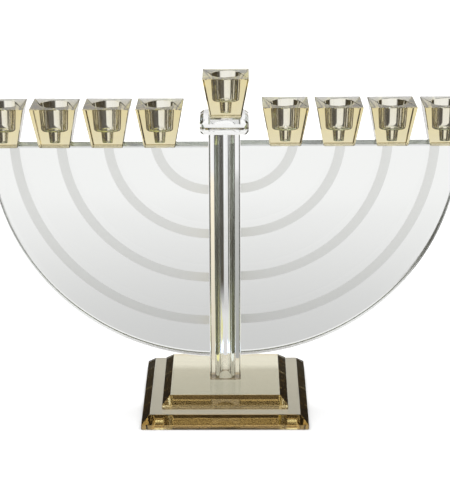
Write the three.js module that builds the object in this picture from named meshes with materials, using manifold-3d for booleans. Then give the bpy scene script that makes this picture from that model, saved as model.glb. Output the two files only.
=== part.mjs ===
// Nine-light menorah in bonded crystal glass.
//
// Millimetres, +Z up. The origin is the centre of the base's underside; +X runs along the
// branches and the front faces -Y. The piece is mirror-symmetric about x = 0 and y = 0.
//
// Two bevelled square slabs carry a square prism column with a round bore along its axis.
// A flat glass wing, close to a quarter of a round plate, is bonded to each side of the column.
// Four cups stand on each wing's straight top edge, and a ninth, the shamash, stands higher
// on a bevelled block at the column's head. Nothing moves: every joint is a bonded face.

import * as THREE from 'three';
import { mergeVertices } from 'three/addons/utils/BufferGeometryUtils.js';
import Module from 'manifold-3d';

const wasm = await Module();
wasm.setup();

// ---- Driving dimensions ------------------------------------------------------------------

const bondFilm = 0.1;          // thickness of the clear adhesive between two bonded faces

const lowerTier = { side: 132, height: 10 };
const upperTier = { side: 100, height: 10 };
const tierGirdle = 4;          // upright part of a tier's edge, below its bevel
const tierBevelInset = 6.8;    // how far a tier's bevel leans in

const column = { side: 25, height: 206, boreRadius: 8.25 };

const wing = {
  thickness: 15,
  outerRadius: 176.5,
  centreOffset: 7,             // the arc's centre, on the top edge, lies this far from x = 0
  topBelowColumnHead: 11,
};

const block = {
  side: 38,
  lowerBevel: { inset: 2, height: 3 },
  girdle: 6,
  upperBevel: { inset: 2.75, height: 3 },
};

const cup = {
  topSide: 36,
  bottomSide: 24,
  height: 32,
  bowl: { rimRadius: 11.5, floorRadius: 10.5, depth: 19.5, filletRadius: 2.5 },
  socket: { mouthRadius: 4.9, floorRadius: 4, depth: 9.5 },
};

const branchCups = { perSide: 4, firstOffset: 49, spacing: 41 };

const roundSegments = 48;      // facets around a bore
const wingArcSegments = 64;    // facets along one wing's quarter arc
const filletSegments = 4;

// ---- Worked-out levels -------------------------------------------------------------------

const upperTierZ = lowerTier.height + bondFilm;
const columnZ = upperTierZ + upperTier.height + bondFilm;
const columnHeadZ = columnZ + column.height;
const wingTopZ = columnHeadZ - wing.topBelowColumnHead;
const blockZ = columnHeadZ + bondFilm;
const blockHeight = block.lowerBevel.height + block.girdle + block.upperBevel.height;
const shamashZ = blockZ + blockHeight + bondFilm;
const branchCupZ = wingTopZ + bondFilm;

// ---- Materials ---------------------------------------------------------------------------

const glass = (color, opacity) => () => new THREE.MeshStandardMaterial({
  color, roughness: 0.05, metalness: 0, transparent: true, opacity,
});
const clearCrystal = glass(0xe8eaea, 0.4);
const plateGlass = glass(0xdfe4e2, 0.5);
const champagneCrystal = glass(0xe6d7a6, 0.6);
const amberCrystal = glass(0x8a7a4c, 0.75);

// ---- Shape helpers -----------------------------------------------------------------------

// A square solid turned from [half-width, height] steps: four lathe segments with their
// corners on the diagonals, so that the flats face X and Y.
function squareTurned(steps) {
  const onDiagonal = steps.map(([half, z]) => new THREE.Vector2(half * Math.SQRT2, z));
  const [first, last] = [steps[0][1], steps[steps.length - 1][1]];
  const profile = [new THREE.Vector2(0, first), ...onDiagonal, new THREE.Vector2(0, last)];
  return new THREE.LatheGeometry(profile, 4, Math.PI / 4).rotateX(Math.PI / 2);
}

function roundTurned(profile) {
  return new THREE.LatheGeometry(profile, roundSegments).rotateX(Math.PI / 2);
}

function toManifold(geometry) {
  const bare = geometry.clone();
  bare.deleteAttribute('normal');
  bare.deleteAttribute('uv');
  const merged = mergeVertices(bare);
  return new wasm.Manifold(new wasm.Mesh({
    numProp: 3,
    vertProperties: new Float32Array(merged.attributes.position.array),
    triVerts: new Uint32Array(merged.index.array),
  }));
}

function fromManifold(solid) {
  const { vertProperties, triVerts } = solid.getMesh();
  const geometry = new THREE.BufferGeometry();
  geometry.setAttribute('position', new THREE.BufferAttribute(vertProperties, 3));
  geometry.setIndex(new THREE.BufferAttribute(triVerts, 1));
  geometry.computeVertexNormals();
  return geometry;
}

// ---- Pieces ------------------------------------------------------------------------------

function tierGeometry({ side, height }) {
  const half = side / 2;
  return squareTurned([[half, 0], [half, tierGirdle], [half - tierBevelInset, height]]);
}

function columnGeometry() {
  const half = column.side / 2;
  const section = new THREE.Shape([
    new THREE.Vector2(-half, -half), new THREE.Vector2(half, -half),
    new THREE.Vector2(half, half), new THREE.Vector2(-half, half),
  ]);
  section.holes.push(new THREE.Path().absarc(0, 0, column.boreRadius, 0, 2 * Math.PI));
  return new THREE.ExtrudeGeometry(section, {
    depth: column.height, bevelEnabled: false, curveSegments: roundSegments,
  });
}

// The right-hand wing's outline in its own plane: x along the branches, y up, with the top
// edge at y = 0. It runs down the bonded inner edge and back up the round outer edge.
function wingGeometry(sideSign) {
  const { outerRadius: radius, centreOffset, thickness } = wing;
  const inner = column.side / 2 + bondFilm;
  const bottomAngle = -Math.acos((inner - centreOffset) / radius);
  const outline = [new THREE.Vector2(inner, 0)];
  for (let i = 0; i <= wingArcSegments; i += 1) {
    const angle = THREE.MathUtils.lerp(bottomAngle, 0, i / wingArcSegments);
    outline.push(new THREE.Vector2(centreOffset + radius * Math.cos(angle), radius * Math.sin(angle)));
  }
  const mirrored = outline.map(({ x, y }) => new THREE.Vector2(sideSign * x, y));
  return new THREE.ExtrudeGeometry(new THREE.Shape(mirrored), { depth: thickness, bevelEnabled: false })
    .translate(0, 0, -thickness / 2)
    .rotateX(Math.PI / 2);
}

function blockGeometry() {
  const half = block.side / 2;
  const { lowerBevel, girdle, upperBevel } = block;
  return squareTurned([
    [half - lowerBevel.inset, 0],
    [half, lowerBevel.height],
    [half, lowerBevel.height + girdle],
    [half - upperBevel.inset, blockHeight],
  ]);
}

// The cup's hollow: a bowl for an oil glass with a filleted floor, and below it a narrower
// socket for a candle. The cutter stands proud of the rim, so that the mouth is cut clean.
function cupHollow() {
  const { bowl, socket, height } = cup;
  const proud = 1;
  const widening = (bowl.rimRadius - bowl.floorRadius) / bowl.depth;
  const floorZ = height - bowl.depth;
  const socketZ = floorZ - socket.depth;
  const profile = [
    new THREE.Vector2(0, socketZ),
    new THREE.Vector2(socket.floorRadius, socketZ),
    new THREE.Vector2(socket.mouthRadius, floorZ),
  ];
  const filletCentre = new THREE.Vector2(bowl.floorRadius - bowl.filletRadius, floorZ + bowl.filletRadius);
  for (let i = 0; i <= filletSegments; i += 1) {
    const angle = -Math.PI / 2 + (i / filletSegments) * (Math.PI / 2);
    profile.push(new THREE.Vector2(
      filletCentre.x + bowl.filletRadius * Math.cos(angle),
      filletCentre.y + bowl.filletRadius * Math.sin(angle),
    ));
  }
  profile.push(
    new THREE.Vector2(bowl.rimRadius + proud * widening, height + proud),
    new THREE.Vector2(0, height + proud),
  );
  return roundTurned(profile);
}

function cupGeometry() {
  const body = squareTurned([[cup.bottomSide / 2, 0], [cup.topSide / 2, cup.height]]);
  return fromManifold(toManifold(body).subtract(toManifold(cupHollow())));
}

// ---- Assembly ----------------------------------------------------------------------------

const group = new THREE.Group();

function addPiece(name, geometry, material, x, z) {
  const mesh = new THREE.Mesh(geometry, material());
  mesh.name = name;
  mesh.position.set(x, 0, z);
  group.add(mesh);
}

addPiece('base_lower_tier', tierGeometry(lowerTier), amberCrystal, 0, 0);
addPiece('base_upper_tier', tierGeometry(upperTier), amberCrystal, 0, upperTierZ);
addPiece('column', columnGeometry(), clearCrystal, 0, columnZ);

for (const [sideName, sideSign] of [['left', -1], ['right', 1]]) {
  addPiece(`${sideName}_wing`, wingGeometry(sideSign), plateGlass, 0, wingTopZ);
  for (let i = 0; i < branchCups.perSide; i += 1) {
    const offset = branchCups.firstOffset + i * branchCups.spacing;
    addPiece(`${sideName}_cup_${i + 1}`, cupGeometry(), champagneCrystal, sideSign * offset, branchCupZ);
  }
}

addPiece('shamash_block', blockGeometry(), clearCrystal, 0, blockZ);
addPiece('shamash_cup', cupGeometry(), champagneCrystal, 0, shamashZ);

export default group;
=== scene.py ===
import math

import bmesh
import bpy
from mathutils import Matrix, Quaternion, Vector


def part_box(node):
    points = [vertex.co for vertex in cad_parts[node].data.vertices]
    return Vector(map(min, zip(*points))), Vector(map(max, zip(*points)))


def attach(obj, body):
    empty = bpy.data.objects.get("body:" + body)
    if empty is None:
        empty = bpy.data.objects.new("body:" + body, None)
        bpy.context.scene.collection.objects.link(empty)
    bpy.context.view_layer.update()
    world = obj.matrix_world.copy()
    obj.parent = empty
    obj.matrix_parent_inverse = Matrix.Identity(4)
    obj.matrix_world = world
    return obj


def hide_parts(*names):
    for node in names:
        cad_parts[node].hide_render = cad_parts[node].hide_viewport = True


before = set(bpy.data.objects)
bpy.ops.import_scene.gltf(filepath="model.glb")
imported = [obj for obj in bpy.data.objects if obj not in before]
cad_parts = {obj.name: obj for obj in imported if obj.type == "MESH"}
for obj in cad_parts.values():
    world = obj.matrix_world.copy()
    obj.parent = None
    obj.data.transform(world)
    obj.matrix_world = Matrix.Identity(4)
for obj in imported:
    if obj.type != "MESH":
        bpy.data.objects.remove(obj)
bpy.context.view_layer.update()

# ---- Sizes, in metres ----------------------------------------------------------------------

MM = 0.001
BODY = "root"
TAU = 2 * math.pi

CAMERA_PLACE = Vector((0.0114, -1.400, 0.6076))
CAMERA_PITCH = 0.3309          # radians below the horizon
CAMERA_YAW = -0.0081           # radians, clockwise from +Y
CAMERA_ROLL = -0.0045          # radians, below 0 turns the object anticlockwise in the picture
CAMERA_LENS = 133.7            # mm, on the usual 36 mm sensor

IOR = 1.52
LAP = 0.03 * MM                # bonded pieces run this far into each other past the adhesive
FILM = 0.1 * MM                # the CAD model's adhesive film

ARRIS = 0.35 * MM              # polished edge of a crystal piece
COLUMN_CORNER = 1.3 * MM       # the column's four long edges are cut wider
CUP_CORNER = 0.6 * MM
FLOOR_GAP = 0.3 * MM           # the air under the base
TIER_GIRDLE = 4 * MM
TIER_BEVEL_INSET = 6.8 * MM

BLOCK_LOWER_INSET, BLOCK_LOWER_HEIGHT = 2 * MM, 3 * MM
BLOCK_UPPER_INSET, BLOCK_UPPER_HEIGHT = 2.75 * MM, 3 * MM
BLOCK_CORNER = 1.6 * MM

COLUMN_BORE_RADIUS = 8.25 * MM

CUP_BOTTOM_HALF = 12 * MM
BOWL_RIM_RADIUS, BOWL_FLOOR_RADIUS = 11.5 * MM, 10.5 * MM
BOWL_DEPTH, BOWL_FILLET = 19.5 * MM, 2.5 * MM
SOCKET_MOUTH_RADIUS, SOCKET_FLOOR_RADIUS, SOCKET_DEPTH = 4.9 * MM, 4 * MM, 9.5 * MM
MOUTH_ARRIS = 0.3 * MM

WING_CENTRE_OUT = 7 * MM       # the round edge's centre, on the top edge, from the middle plane
WING_ARRIS = 0.9 * MM
ARC_CENTRE_OUT, ARC_CENTRE_RISE = 11.5 * MM, 7.5 * MM
ARC_FIRST_RADIUS, ARC_SPACING, ARC_WIDTH, ARC_COUNT = 42.7 * MM, 36.5 * MM, 7.6 * MM, 4

COLUMN_BORE_MATT, CUP_BORE_MATT, PLATE_EDGE_MATT, FROST_MATT = 0.02, 0.03, 0.10, 0.35

ROUND = 128                    # facets round a bore
ARC_STEPS = 96                 # facets along a wing's arcs
FILLET_STEPS = 8               # facets up the fillet round a bowl's floor


# ---- Mesh helpers --------------------------------------------------------------------------

def square_ring(half, z, cut):
    """Eight corners of a square with clipped corners, anticlockwise from above."""
    inner = half - cut
    return [
        (half, -inner, z), (half, inner, z), (inner, half, z), (-inner, half, z),
        (-half, inner, z), (-half, -inner, z), (-inner, -half, z), (inner, -half, z),
    ]


def round_ring(radius, z):
    return [
        (radius * math.cos(TAU * i / ROUND), radius * math.sin(TAU * i / ROUND), z)
        for i in range(ROUND)
    ]


class Builder:
    """A bmesh with loops of points joined into walls, rings and caps."""

    def __init__(self):
        self.bm = bmesh.new()
        self.matt = self.bm.faces.layers.float.new("matt")

    def loop(self, points):
        return [self.bm.verts.new(p) for p in points]

    def face(self, verts, matt=0.0, smooth=False):
        """One face. matt is its roughness, 0 where it is polished."""
        face = self.bm.faces.new(verts)
        face[self.matt] = matt
        face.smooth = smooth
        return face

    def wall(self, low, high, matt=0.0, smooth=False):
        """Quads between two loops of as many points. A smooth wall is smooth round, not up."""
        count = len(low)
        for i in range(count):
            j = (i + 1) % count
            self.face((low[i], low[j], high[j], high[i]), matt, smooth)
            self.bm.edges.get((low[i], low[j])).smooth = False
            self.bm.edges.get((high[i], high[j])).smooth = False

    def stack(self, loops, matt=0.0, smooth=False):
        for low, high in zip(loops, loops[1:]):
            self.wall(low, high, matt, smooth)

    def ring(self, outer, inner):
        """A flat ring between two loops round the same axis, with different counts."""
        def turn(vert, start):
            return (math.atan2(vert.co.y, vert.co.x) - start) % TAU

        start = math.atan2(outer[0].co.y, outer[0].co.x)
        first = min(range(len(inner)), key=lambda k: turn(inner[k], start))
        inner = inner[first:] + inner[:first]
        outer_turns = [turn(v, start) for v in outer] + [TAU]
        inner_turns = [turn(v, start) for v in inner] + [TAU + turn(inner[0], start)]
        a = b = 0
        while a < len(outer) or b < len(inner):
            outer_now, inner_now = outer[a % len(outer)], inner[b % len(inner)]
            if b == len(inner) or (a < len(outer) and outer_turns[a + 1] <= inner_turns[b + 1]):
                a += 1
                self.face((outer_now, outer[a % len(outer)], inner_now))
            else:
                b += 1
                self.face((outer_now, inner[b % len(inner)], inner_now))

    def finish(self, name, place, material, turn=0.0):
        bmesh.ops.remove_doubles(self.bm, verts=self.bm.verts, dist=1e-6)
        bmesh.ops.recalc_face_normals(self.bm, faces=self.bm.faces)
        mesh = bpy.data.meshes.new(name)
        self.bm.to_mesh(mesh)
        self.bm.free()
        mesh.materials.append(material)
        piece = bpy.data.objects.new(name, mesh)
        piece.location = place
        piece.rotation_euler = (0, 0, turn)
        bpy.context.scene.collection.objects.link(piece)
        return piece


def place_of(node):
    """The middle of a node's underside, and its half width, half depth and height."""
    low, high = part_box(node)
    low, high = Vector(low), Vector(high)
    middle = (low + high) / 2
    size = high - low
    return Vector((middle.x, middle.y, low.z)), size.x / 2, size.y / 2, size.z


def hand_over(piece, node):
    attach(piece, BODY)
    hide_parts(node)


# ---- Materials -----------------------------------------------------------------------------

class Nodes:
    """A material's or world's node tree, filled by short calls."""

    def __init__(self, tree):
        self.tree = tree
        tree.nodes.clear()

    def add(self, kind, **values):
        node = self.tree.nodes.new(kind)
        for key, value in values.items():
            setattr(node, key, value)
        return node

    def link(self, source, target):
        self.tree.links.new(source, target)

    def put(self, socket, value):
        if hasattr(value, "is_output"):
            self.link(value, socket)
        else:
            socket.default_value = value

    def math(self, operation, first, second=0.0, clamp=False):
        node = self.add("ShaderNodeMath", operation=operation, use_clamp=clamp)
        for socket, value in zip(node.inputs, (first, second)):
            self.put(socket, value)
        return node.outputs[0]

    def smooth(self, value, low, high, start=0.0, end=1.0):
        node = self.add("ShaderNodeMapRange", interpolation_type="SMOOTHSTEP")
        for key, number in (("Value", value), ("From Min", low), ("From Max", high),
                            ("To Min", start), ("To Max", end)):
            self.put(node.inputs[key], number)
        return node.outputs[0]

    def mix(self, share, first, second):
        node = self.add("ShaderNodeMix", data_type="RGBA")
        self.put(node.inputs["Factor"], share)
        self.put(node.inputs[6], first)
        self.put(node.inputs[7], second)
        return node.outputs[2]

    def noise(self, vector, scale, detail=2.0, roughness=0.5):
        node = self.add("ShaderNodeTexNoise")
        node.inputs["Scale"].default_value = scale
        node.inputs["Detail"].default_value = detail
        node.inputs["Roughness"].default_value = roughness
        self.link(vector, node.inputs["Vector"])
        return node.outputs["Fac"]

    def stretch(self, vector, scale):
        node = self.add("ShaderNodeMapping")
        node.inputs["Scale"].default_value = scale
        self.link(vector, node.inputs["Vector"])
        return node.outputs[0]

    def bump(self, height, distance):
        node = self.add("ShaderNodeBump")
        node.inputs["Distance"].default_value = distance
        node.inputs["Strength"].default_value = 1.0
        self.link(height, node.inputs["Height"])
        return node.outputs[0]


def new_material(name):
    material = bpy.data.materials.new(name)
    material.use_nodes = True
    return material, Nodes(material.node_tree)


WHITE = (1, 1, 1, 1)
FROST_TINT = (0.71, 0.71, 0.69, 1)
FROSTED, WORKED = (0.2, 0.3), (0.0, 0.01)   # from which matt on a face is frosted, or has relief
WAVE_SCALE, WAVE_HEIGHT = 55.0, 0.02        # long waves left by polishing; heights are in mm
STREAK_STRETCH, STREAK_HEIGHT = (900, 900, 25), 0.012
GRAIN_SCALE, GRAIN_HEIGHT = 2600.0, 0.04


def crystal(name, colour, density, working):
    """Solid glass, tinted by depth. working(nodes) is the relief, in mm, where it isn't polished."""
    material, n = new_material(name)
    matt = n.add("ShaderNodeAttribute", attribute_name="matt").outputs["Fac"]
    waves = n.math("MULTIPLY", n.noise(object_space(n), WAVE_SCALE, 1.0), WAVE_HEIGHT)
    worked = n.math("MULTIPLY", n.smooth(matt, *WORKED), working(n))
    shader = n.add("ShaderNodeBsdfPrincipled")
    shader.inputs["Transmission Weight"].default_value = 1.0
    shader.inputs["IOR"].default_value = IOR
    tint = n.mix(n.smooth(matt, *FROSTED), WHITE, FROST_TINT)
    n.link(tint, shader.inputs["Base Color"])
    n.link(matt, shader.inputs["Roughness"])
    n.link(n.bump(n.math("ADD", waves, worked), MM), shader.inputs["Normal"])
    volume = n.add("ShaderNodeVolumeAbsorption")
    volume.inputs["Color"].default_value = (*colour, 1)
    volume.inputs["Density"].default_value = density
    output = n.add("ShaderNodeOutputMaterial")
    n.link(shader.outputs[0], output.inputs["Surface"])
    n.link(volume.outputs[0], output.inputs["Volume"])
    return material


def object_space(n):
    return n.add("ShaderNodeTexCoord").outputs["Object"]


def drill_streaks(n):
    """Vertical draw marks in a bore."""
    drawn = n.stretch(object_space(n), STREAK_STRETCH)
    return n.math("MULTIPLY", n.noise(drawn, 1.0, 3.0, 0.6), STREAK_HEIGHT)


def frost_grain(n):
    return n.math("MULTIPLY", n.noise(object_space(n), GRAIN_SCALE, 2.0), GRAIN_HEIGHT)


amber = crystal("amber_crystal", (0.65, 0.505, 0.125), 20.0, drill_streaks)
clear = crystal("clear_crystal", (0.80, 0.86, 0.62), 1.2, drill_streaks)
champagne = crystal("champagne_crystal", (0.87, 0.77, 0.35), 40.0, drill_streaks)
plate = crystal("plate_glass", (0.45, 0.60, 0.40), 4.0, frost_grain)


# ---- Pieces --------------------------------------------------------------------------------

def tier(node):
    """A square slab with bevelled top edges."""
    place, half, _, height = place_of(node)
    slope = TIER_BEVEL_INSET / (height - TIER_GIRDLE)
    b = Builder()
    loops = [
        b.loop(square_ring(half - ARRIS, 0, ARRIS)),
        b.loop(square_ring(half, ARRIS, ARRIS)),
        b.loop(square_ring(half, TIER_GIRDLE - ARRIS / 2, ARRIS)),
        b.loop(square_ring(half - slope * ARRIS / 2, TIER_GIRDLE + ARRIS / 2, ARRIS)),
        b.loop(square_ring(half - TIER_BEVEL_INSET + slope * ARRIS / 2, height - ARRIS / 2, ARRIS)),
        b.loop(square_ring(half - TIER_BEVEL_INSET - ARRIS / 2, height, ARRIS)),
    ]
    b.stack(loops)
    b.face(loops[0][::-1])
    b.face(loops[-1])
    return b, place


def lower_tier():
    b, place = tier("base_lower_tier")
    hand_over(b.finish("lower_tier", place, amber), "base_lower_tier")


def upper_tier():
    b, place = tier("base_upper_tier")
    place.z -= FILM + LAP
    hand_over(b.finish("upper_tier", place, amber), "base_upper_tier")


def column():
    place, half, _, height = place_of("column")
    low, high = -2 * FILM - 2 * LAP, height + FILM + LAP
    b = Builder()
    outer = [b.loop(square_ring(half, z, COLUMN_CORNER)) for z in (low, high)]
    bore = [b.loop(round_ring(COLUMN_BORE_RADIUS, z)) for z in (low, high)]
    b.stack(outer)
    b.stack(bore, COLUMN_BORE_MATT, True)
    b.ring(outer[0], bore[0])
    b.ring(outer[1], bore[1])
    hand_over(b.finish("column_prism", place, clear), "column")


def shamash_block():
    place, half, _, height = place_of("shamash_block")
    b = Builder()
    loops = [
        b.loop(square_ring(half - BLOCK_LOWER_INSET, 0, BLOCK_CORNER)),
        b.loop(square_ring(half, BLOCK_LOWER_HEIGHT, BLOCK_CORNER)),
        b.loop(square_ring(half, height - BLOCK_UPPER_HEIGHT, BLOCK_CORNER)),
        b.loop(square_ring(half - BLOCK_UPPER_INSET, height, BLOCK_CORNER)),
    ]
    b.stack(loops)
    b.face(loops[0][::-1])
    b.face(loops[-1])
    piece = b.finish("bevelled_block", place, clear)
    hand_over(piece, "shamash_block")


def bore_profile(height):
    """[radius, z] down the bowl and the candle socket of a cup, from the rim."""
    floor = height - BOWL_DEPTH
    socket = floor - SOCKET_DEPTH
    wall = [(BOWL_RIM_RADIUS + MOUTH_ARRIS, height), (BOWL_RIM_RADIUS, height - MOUTH_ARRIS)]
    fillet = []
    for i in range(FILLET_STEPS + 1):
        angle = i / FILLET_STEPS * math.pi / 2
        fillet.append((
            BOWL_FLOOR_RADIUS - BOWL_FILLET * (1 - math.cos(angle)),
            floor + BOWL_FILLET * (1 - math.sin(angle)),
        ))
    mouth = [(SOCKET_MOUTH_RADIUS + MOUTH_ARRIS, floor), (SOCKET_MOUTH_RADIUS, floor - MOUTH_ARRIS)]
    foot = [(SOCKET_FLOOR_RADIUS, socket + MOUTH_ARRIS), (SOCKET_FLOOR_RADIUS - MOUTH_ARRIS, socket)]
    return wall + fillet + mouth + foot


def cup(node, turn, shift, lift):
    """A tapered square crystal with its two-step bore, bonded a little way into what it is on."""
    place, half, _, height = place_of(node)
    sink = FILM + LAP
    place += Vector((shift, 0, lift))
    b = Builder()
    foot, head = CUP_BOTTOM_HALF, half
    slope = (head - foot) / height
    outer = [
        b.loop(square_ring(foot - ARRIS, -sink, CUP_CORNER)),
        b.loop(square_ring(foot + slope * ARRIS, ARRIS - sink, CUP_CORNER)),
        b.loop(square_ring(head - slope * ARRIS, height - ARRIS, CUP_CORNER)),
        b.loop(square_ring(head - ARRIS, height, CUP_CORNER)),
    ]
    b.stack(outer)
    b.face(outer[0][::-1])
    loops = [b.loop(round_ring(radius, z)) for radius, z in bore_profile(height)]
    b.stack(loops, CUP_BORE_MATT, True)
    b.face(loops[-1], CUP_BORE_MATT)
    b.ring(outer[-1], loops[0])
    piece = b.finish(f"{node}_crystal", place, champagne, turn)
    hand_over(piece, node)


def arc(radius, centre, inner, top):
    """[x, z] along a circle about centre, from x = inner round to the height top."""
    start = -math.acos((inner - centre[0]) / radius)
    end = -math.asin((centre[1] - top) / radius)
    angles = [start + (end - start) * i / ARC_STEPS for i in range(ARC_STEPS + 1)]
    return [(centre[0] + radius * math.cos(a), centre[1] + radius * math.sin(a)) for a in angles]


def wing(node, side, lift):
    """A quarter of a round plate. side is -1 or 1; the frosted arcs are on its front face."""
    low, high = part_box(node)
    front, back, top = low[1], high[1], high[2]
    inner, tip = sorted((abs(low[0]), abs(high[0])))
    inner -= FILM + LAP
    radius = tip - WING_CENTRE_OUT
    centre, arc_centre = (WING_CENTRE_OUT, top), (ARC_CENTRE_OUT, top + ARC_CENTRE_RISE)
    bands = []
    for i in range(ARC_COUNT):
        middle = ARC_FIRST_RADIUS + i * ARC_SPACING
        for edge in (middle - ARC_WIDTH / 2, middle + ARC_WIDTH / 2):
            bands.append(arc(edge, arc_centre, inner, top - WING_ARRIS))
    b = Builder()

    def level(points, y):
        return b.loop([(side * x, y, z) for x, z in points])

    def rim(inset):
        return arc(radius - inset, centre, inner, top - inset)

    def outline(inset):
        """Round the plate, with a corner wherever a frosted arc meets its straight edges."""
        ends = [(band[-1][0], top - inset) for band in reversed(bands)]
        starts = [band[0] for band in bands]
        return [(inner, top - inset)] + starts + rim(inset) + ends

    loops = [
        level(outline(WING_ARRIS), front), level(outline(0), front + WING_ARRIS),
        level(outline(0), back - WING_ARRIS), level(outline(WING_ARRIS), back),
    ]
    b.stack(loops, PLATE_EDGE_MATT)
    b.face(loops[-1])
    edges = [[(inner, top - WING_ARRIS)]] + bands + [rim(WING_ARRIS)]
    for i, (small, large) in enumerate(zip(edges, edges[1:])):
        b.face(level(large + small[::-1], front), FROST_MATT if i % 2 else 0.0)
    piece = b.finish(f"{node}_plate", (0, 0, lift), plate)
    hand_over(piece, node)


# The photographed piece is bonded a little out of true. A wing is lifted with its cups, and a
# cup is turned, in degrees from above, and shifted to the right, in mm.
WING_LIFTS = {"left": -0.6 * MM, "right": 0.5 * MM}
CUP_SETTINGS = {
    "left_cup_4": (0.6, -0.8), "left_cup_3": (-1.4, -0.8), "left_cup_2": (-1.1, -0.8),
    "left_cup_1": (-0.9, -1.1), "right_cup_1": (0.5, -1.6), "right_cup_2": (1.0, -1.1),
    "right_cup_3": (1.5, -0.8), "right_cup_4": (0.8, -0.6), "shamash_cup": (0.2, 1.2),
}

lower_tier()
upper_tier()
column()
shamash_block()
wing("left_wing", -1, WING_LIFTS["left"])
wing("right_wing", 1, WING_LIFTS["right"])
for cup_node, (degrees, shift) in CUP_SETTINGS.items():
    cup(cup_node, math.radians(degrees), shift * MM, WING_LIFTS.get(cup_node.split("_")[0], 0))


# ---- Stage, light and camera ---------------------------------------------------------------

# The camera and the floor's own shading see a plain white studio. The glass sees a bright table
# and backdrop behind the piece, a little to the right, with dark flags beside them, which draw
# its edges, and a soft box high behind. The table, its flags, glows, strips and card, and what
# shows through the base, are painted light and painted shade in the floor's emission, which only
# the glass sees; the backdrop and the soft box are the world's light. A straight ray has gone
# through one plate only, and a bent ray has met more faces. A slant is a place's x over its y,
# so 0 is right behind the piece.
FLOOR_COLOUR, FLOOR_HALF = (0.86, 0.86, 0.86, 1), 12
DARK = 0.05
WARM_DARK = (1.0, 0.86, 0.68, 1)
STRAIGHT_BOUNCES = 2.5                  # a ray with fewer bounces is a straight one

TABLE_FOOT, TABLE_FAR = 0.64, 0.92      # the table's brightness at the foot and far away
TABLE_FADE = (0.06, 0.60)
BENT_LEFT, BENT_RIGHT = -0.20, 0.71     # slants of the bright table's flanks for bent rays
CLEAR_LEFT, CLEAR_RIGHT = -0.24, 0.45   # the same for straight rays, beyond the clear distance
CLEAR_DISTANCE = (0.98, 1.05)
BENT_SOFT, CLEAR_SOFT = 0.06, 0.04      # how soft the flanks' edges are
NEAR_GLOW, NEAR_FADE = 1.2, (0.18, 0.30)
BEHIND_BASE = (0.068, 0.085)            # before this, bent rays find only the flanks and strips
FRONT_TABLE = (-0.60, -0.45)            # and the bright table far in front

# The glow on both sides of the base, which bent rays find: how deep, where it starts and fades.
FLANK_DEPTH, FLANK_START = (0.10, 0.16), (0.07, 0.09)
FLANK_FADE, FLANK_NEAR, FLANK_FAR = (0.10, 0.32), 1.4, 0.22
FLANK_LEFT, FLANK_RIGHT = (1.0, 0.97, 0.42, 1), (0.95, 1.0, 0.90, 1)
FLANK_SEAM = (-0.05, 0.05)

# Two short bright strips behind the base's back corners, which bent rays find.
STRIP_INNER, STRIP_OUTER, STRIP_SOFT = 0.046, 0.066, 0.002
STRIP_START, STRIP_END = (0.066, 0.068), (0.10, 0.13)
STRIP_LEVEL, STRIP_TONE = 3.5, (1.0, 1.25, 1.7, 1)

# A card in two tones behind the column, which straight rays find, painted into the floor's emission:
# a bright warm painted light on the left and a dimmer grey on the right.
CARD_HALF_WIDTH, CARD_SPREAD, CARD_LEAN = 0.0125, 0.009, 0.0082
CARD_END, CARD_SEAM = (0.60, 0.68), (-0.004, 0.004)
CARD_LEFT, CARD_RIGHT = (1.12, 1.03, 0.82, 1), (0.62, 0.63, 0.61, 1)

# What shows through the base from below, painted into the floor there: painted shade through one
# tier and two, brightening to painted light through two farther back and near the back edge.
UNDER_ONE_TIER = (0.56, 0.55, 0.49, 1)
UNDER_TWO_TIERS = (0.72, 0.75, 0.71, 1)
UNDER_BACK, UNDER_BACK_START = (1.15, 1.20, 1.18, 1), (0.022, 0.038)
UNDER_EDGE, UNDER_EDGE_START = (1.15, 1.12, 1.02, 1), (0.051, 0.058)

BACKDROP_LEFT, BACKDROP_TOP = -0.50, (0.34, 0.425)
BACKDROP_FOOT = (0.08, 0.16)            # straight rays don't see it below this
HIGH_BOX_FLANK, HIGH_BOX_START, HIGH_BOX_FADE = (0.30, 0.42), (0.50, 0.56), (0.72, 0.82)
HIGH_BOX_LOW, HIGH_BOX_HIGH = 1.1, 0.5
PANEL_LEVEL = 0.95


def plain_ray(n, path):
    """1 for a camera ray or one that lights the floor, 0 for one that has met the glass."""
    return n.math("MAXIMUM", path.outputs["Is Camera Ray"], path.outputs["Is Diffuse Ray"])


def straight_ray(n, path):
    return n.math("LESS_THAN", path.outputs["Ray Depth"], STRAIGHT_BOUNCES)


def product(n, first, *others):
    for other in others:
        first = n.math("MULTIPLY", first, other)
    return first


def invert(n, value):
    return n.math("SUBTRACT", 1.0, value)


def fall(n, value, span):
    """1 below the span, 0 above it."""
    return n.smooth(value, *span, 1.0, 0.0)


def between(n, value, low, high, soft):
    """1 between low and high, 0 outside them, with soft edges."""
    return product(n, n.smooth(value, low - soft, low + soft),
                   fall(n, value, (high - soft, high + soft)))


def slant_of(n, x, y):
    return n.math("DIVIDE", x, n.math("MAXIMUM", y, 0.01))


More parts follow.
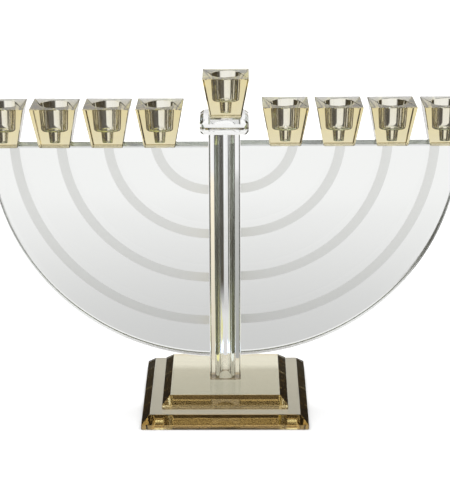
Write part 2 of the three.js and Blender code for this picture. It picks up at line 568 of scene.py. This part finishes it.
class PaintedTable:
    """The floor's painted light and painted shade, its colour and brightness as the glass sees it,
    in nodes.
    """

    def __init__(self, n, path):
        self.n = n
        place = n.add("ShaderNodeSeparateXYZ")
        n.link(n.add("ShaderNodeNewGeometry").outputs["Position"], place.inputs[0])
        self.x, self.y = place.outputs[0], place.outputs[1]
        self.out, self.deep = n.math("ABSOLUTE", self.x), n.math("ABSOLUTE", self.y)
        squares = n.math("ADD", product(n, self.x, self.x), product(n, self.y, self.y))
        self.away = n.math("SQRT", squares)
        self.slant = slant_of(n, self.x, self.y)
        self.straight = straight_ray(n, path)
        self.bent = invert(n, self.straight)
        self.flank = product(
            n, fall(n, self.deep, FLANK_DEPTH), n.smooth(self.out, *FLANK_START),
            n.smooth(self.out, *FLANK_FADE, FLANK_NEAR, FLANK_FAR))
        self.strip = product(
            n, between(n, self.out, STRIP_INNER, STRIP_OUTER, STRIP_SOFT),
            n.smooth(self.y, *STRIP_START), fall(n, self.y, STRIP_END))

    def lit(self):
        """How far the table is lit by painted light, from 0 on a painted dark flag to 1, or more
        where it glows.
        """
        n, y = self.n, self.y
        clear = n.math("MAXIMUM", between(n, self.slant, CLEAR_LEFT, CLEAR_RIGHT, CLEAR_SOFT),
                       fall(n, y, CLEAR_DISTANCE))
        level = n.math("MAXIMUM", between(n, self.slant, BENT_LEFT, BENT_RIGHT, BENT_SOFT),
                       n.smooth(self.away, *NEAR_FADE, NEAR_GLOW, 0.0))
        level = product(n, level, n.smooth(y, *BEHIND_BASE))
        for other in (self.flank, product(n, self.strip, STRIP_LEVEL), fall(n, y, FRONT_TABLE)):
            level = n.math("MAXIMUM", level, other)
        return n.math("ADD", product(n, self.straight, clear), product(n, self.bent, level))

    def tone(self):
        """The lit table's colour, with the flanks, the card and the strips."""
        n, x, y = self.n, self.x, self.y
        across = n.math("ADD", x, product(n, y, CARD_LEAN))
        reach = n.math("ADD", product(n, y, CARD_SPREAD), CARD_HALF_WIDTH)
        card = product(n, self.straight, n.math("LESS_THAN", n.math("ABSOLUTE", across), reach),
                       fall(n, y, CARD_END))
        card_tone = n.mix(n.smooth(across, *CARD_SEAM), CARD_LEFT, CARD_RIGHT)
        flank_tone = n.mix(n.smooth(x, *FLANK_SEAM), FLANK_LEFT, FLANK_RIGHT)
        beside = product(n, self.bent, n.math("GREATER_THAN", self.flank, 0.05))
        tone = n.mix(card, n.mix(beside, WHITE, flank_tone), card_tone)
        return n.mix(product(n, self.strip, self.bent), tone, STRIP_TONE)

    def painted_beneath(self):
        """1 under the base and 0 elsewhere, and the painted shade and painted light that show
        through the base.
        """
        n = self.n
        half = place_of("base_lower_tier")[1]
        inside = product(n, n.math("LESS_THAN", self.out, half),
                         n.math("LESS_THAN", self.deep, half))
        two = n.mix(n.smooth(self.y, *UNDER_BACK_START), UNDER_TWO_TIERS, UNDER_BACK)
        two = n.mix(n.smooth(self.y, *UNDER_EDGE_START), two, UNDER_EDGE)
        return inside, n.mix(self.straight, two, UNDER_ONE_TIER)

    def light(self):
        """The colour and the strength of all that the glass sees in the floor."""
        n, lit = self.n, self.lit()
        inside, under = self.painted_beneath()
        fade = n.smooth(self.away, *TABLE_FADE, TABLE_FOOT, TABLE_FAR)
        strength = n.math("MAXIMUM", product(n, fade, lit), DARK)
        strength = n.math("ADD", product(n, strength, invert(n, inside)), inside)
        colour = n.mix(n.math("MULTIPLY", lit, 4.0, clamp=True), WARM_DARK, self.tone())
        return n.mix(inside, colour, under), strength


def floor():
    material, n = new_material("pale_floor")
    path = n.add("ShaderNodeLightPath")
    plain = n.add("ShaderNodeBsdfDiffuse")
    plain.inputs["Color"].default_value = FLOOR_COLOUR
    # The glass sees this emission instead of the diffuse floor: the floor's painted light and
    # painted shade.
    through = n.add("ShaderNodeEmission")
    colour, strength = PaintedTable(n, path).light()
    n.link(colour, through.inputs["Color"])
    n.link(strength, through.inputs["Strength"])
    mix = n.add("ShaderNodeMixShader")
    n.link(plain_ray(n, path), mix.inputs[0])
    n.link(through.outputs[0], mix.inputs[1])
    n.link(plain.outputs[0], mix.inputs[2])
    n.link(mix.outputs[0], n.add("ShaderNodeOutputMaterial").inputs["Surface"])
    mesh = bpy.data.meshes.new("floor")
    bm = bmesh.new()
    bmesh.ops.create_grid(bm, x_segments=2, y_segments=2, size=FLOOR_HALF)
    bm.to_mesh(mesh)
    bm.free()
    mesh.materials.append(material)
    plane = bpy.data.objects.new("floor", mesh)
    plane.location.z = -FLOOR_GAP
    bpy.context.scene.collection.objects.link(plane)


def studio():
    """A white sky, and for the glass a backdrop panel behind, a soft box overhead and dark walls."""
    world = bpy.data.worlds.new("studio")
    bpy.context.scene.world = world
    world.use_nodes = True
    n = Nodes(world.node_tree)
    path = n.add("ShaderNodeLightPath")
    way = n.add("ShaderNodeTexCoord").outputs["Generated"]
    split = n.add("ShaderNodeSeparateXYZ")
    n.link(way, split.inputs[0])
    x, y, z = split.outputs
    above = n.math("MAXIMUM", invert(n, straight_ray(n, path)), n.smooth(z, *BACKDROP_FOOT))
    backdrop = product(n, between(n, slant_of(n, x, y), BACKDROP_LEFT, BENT_RIGHT, BENT_SOFT),
                       fall(n, z, BACKDROP_TOP), above)
    high = product(n, fall(n, n.math("ABSOLUTE", x), HIGH_BOX_FLANK),
                   n.smooth(z, *HIGH_BOX_START),
                   n.smooth(z, *HIGH_BOX_FADE, HIGH_BOX_LOW, HIGH_BOX_HIGH))
    panel = product(n, n.math("GREATER_THAN", y, 0.0), n.math("ADD", backdrop, high))
    level = n.math("MAXIMUM", product(n, panel, PANEL_LEVEL), DARK)
    plain = plain_ray(n, path)
    bright = n.math("MAXIMUM", panel, plain, clamp=True)
    background = n.add("ShaderNodeBackground")
    n.link(n.mix(bright, WARM_DARK, WHITE), background.inputs["Color"])
    n.link(n.math("ADD", plain, product(n, invert(n, plain), level)),
           background.inputs["Strength"])
    n.link(background.outputs[0], n.add("ShaderNodeOutputWorld").inputs["Surface"])


def softbox(name, place, target, width, height, power):
    light = bpy.data.lights.new(name, "AREA")
    light.shape = "RECTANGLE"
    light.size, light.size_y = width, height
    light.energy = power
    lamp = bpy.data.objects.new(name, light)
    lamp.location = place
    lamp.visible_glossy = False
    lamp.visible_transmission = False
    lamp.rotation_euler = (Vector(target) - Vector(place)).to_track_quat("-Z", "Y").to_euler()
    bpy.context.scene.collection.objects.link(lamp)


def camera():
    data = bpy.data.cameras.new("camera")
    data.lens = CAMERA_LENS
    data.sensor_width = 36
    data.clip_end = 50
    eye = bpy.data.objects.new("camera", data)
    eye.location = CAMERA_PLACE
    way = Vector((
        math.cos(CAMERA_PITCH) * math.sin(CAMERA_YAW),
        math.cos(CAMERA_PITCH) * math.cos(CAMERA_YAW),
        -math.sin(CAMERA_PITCH),
    ))
    aim = way.to_track_quat("-Z", "Y") @ Quaternion((0, 0, 1), CAMERA_ROLL)
    eye.rotation_euler = aim.to_euler()
    bpy.context.scene.collection.objects.link(eye)
    bpy.context.scene.camera = eye


floor()
studio()
softbox("overhead_softbox", place=(0, 0.2, 1.6), target=(0, 0.1, 0),
        width=1.6, height=1.6, power=30)
camera()

scene = bpy.context.scene
scene.view_settings.view_transform = "Standard"
scene.cycles.max_bounces = 32
scene.cycles.transmission_bounces = 32
scene.cycles.glossy_bounces = 16
scene.cycles.transparent_max_bounces = 16
